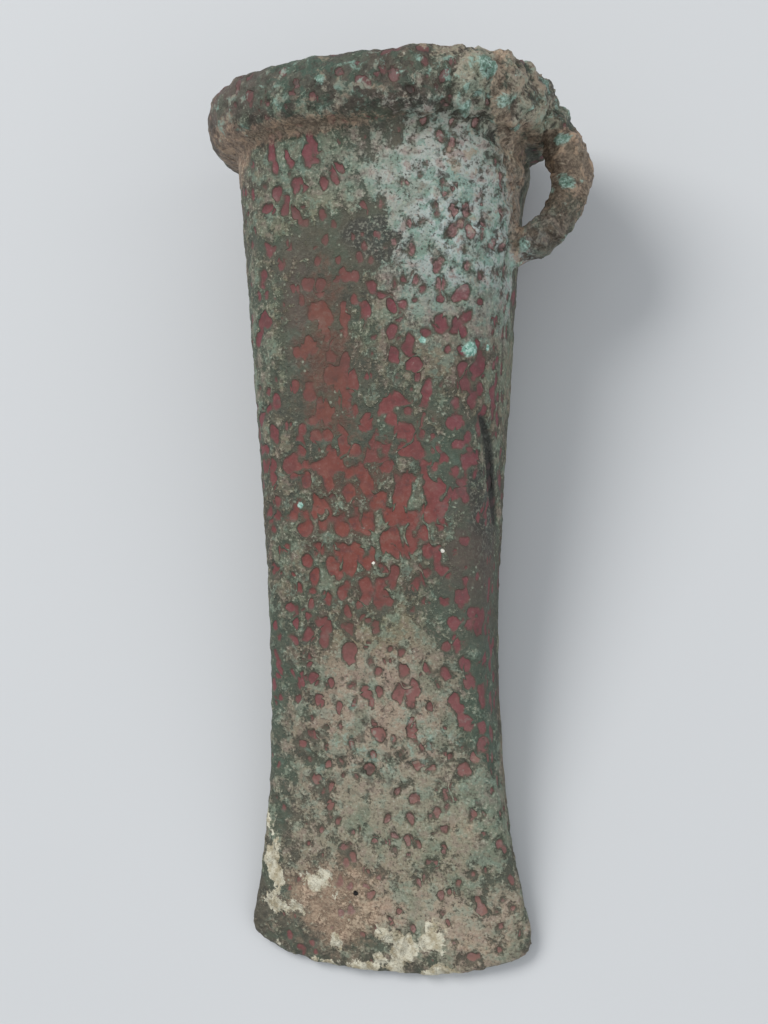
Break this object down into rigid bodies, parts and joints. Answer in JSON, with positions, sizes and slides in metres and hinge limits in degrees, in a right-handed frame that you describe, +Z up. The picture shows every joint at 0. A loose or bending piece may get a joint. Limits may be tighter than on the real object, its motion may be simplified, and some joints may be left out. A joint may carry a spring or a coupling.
{
  "type": "socketed axe head",
  "caption": "Bronze age socketed axe head with a thick round collar, an oval socket, a side loop, a tapering body and a flared blade.",
  "frame": {"origin": "under the middle of the head's bounding box, on the surface it lies on", "axes": "+Y runs from the cutting edge to the socket mouth, +X points to the side with the loop, +Z up from the broad face it lies on"},
  "size_m": [0.0458, 0.1052, 0.035],
  "materials": {
    "bronze": "corroded cast bronze: a matt grey-green crust over red cuprite, with no bare metal showing"
  },
  "bodies": {
    "root": {"axe_head": "bronze"}
  },
  "joints": []
}
